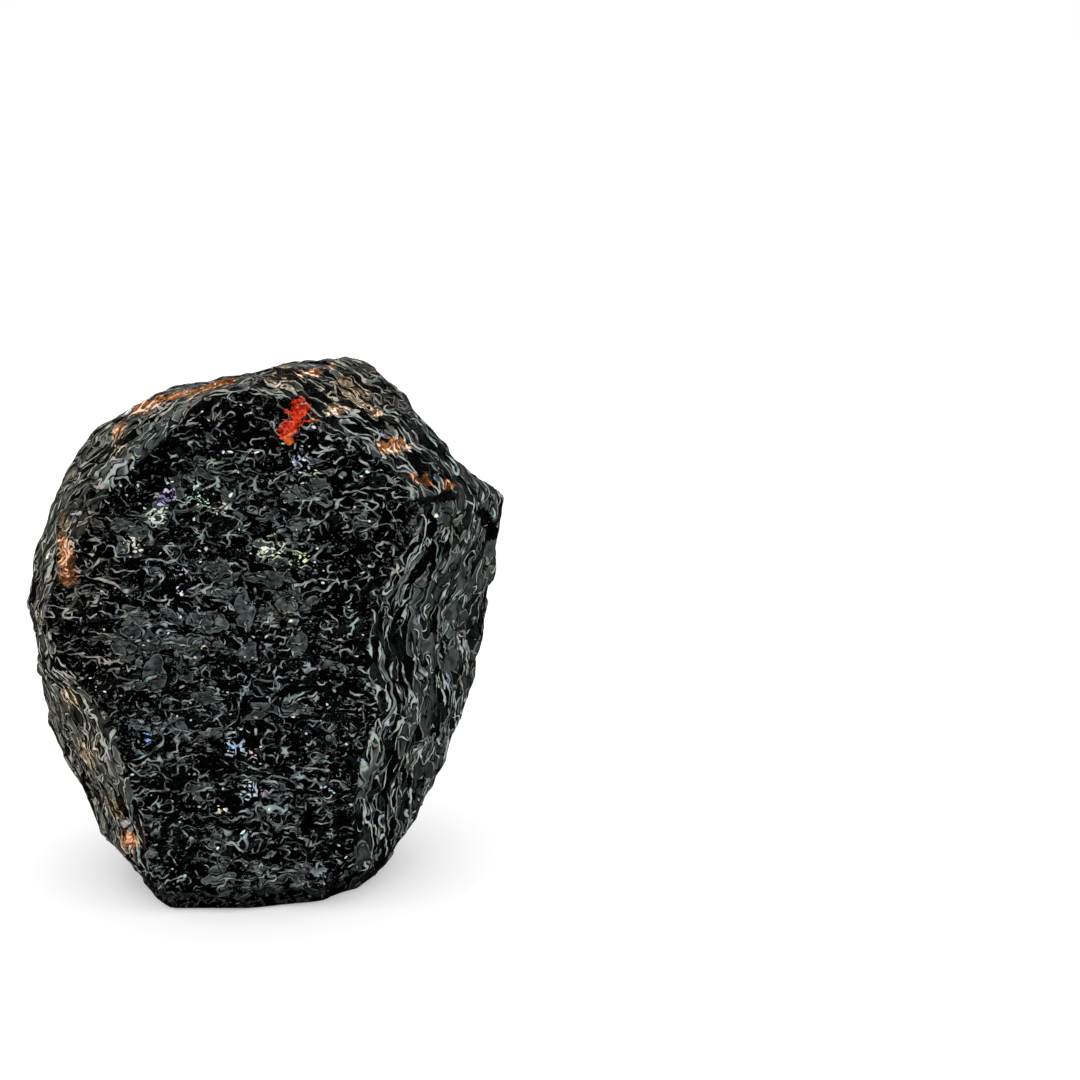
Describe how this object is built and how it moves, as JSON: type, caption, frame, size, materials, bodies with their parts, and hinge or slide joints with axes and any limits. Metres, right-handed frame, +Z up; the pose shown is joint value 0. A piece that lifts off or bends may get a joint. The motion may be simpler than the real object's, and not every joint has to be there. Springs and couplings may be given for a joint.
{
  "type": "obsidian chunk",
  "caption": "Upright rough chunk of black volcanic glass: a flaked front face in a sloping rim of weathered skin, a domed chipped back, and a flat broken foot to rest on.",
  "frame": {"origin": "on the flat foot, at rest level, under the middle of the chunk", "axes": "+Z up, out of the foot; the flaked face looks along -Y; +X to the right of someone who looks at that face"},
  "size_m": [0.0534, 0.0345, 0.0603],
  "materials": {
    "obsidian": "glossy flaked black glass inside a dull grey weathered rim, with rust stains"
  },
  "bodies": {
    "root": {"obsidian_chunk": "obsidian"}
  },
  "joints": []
}
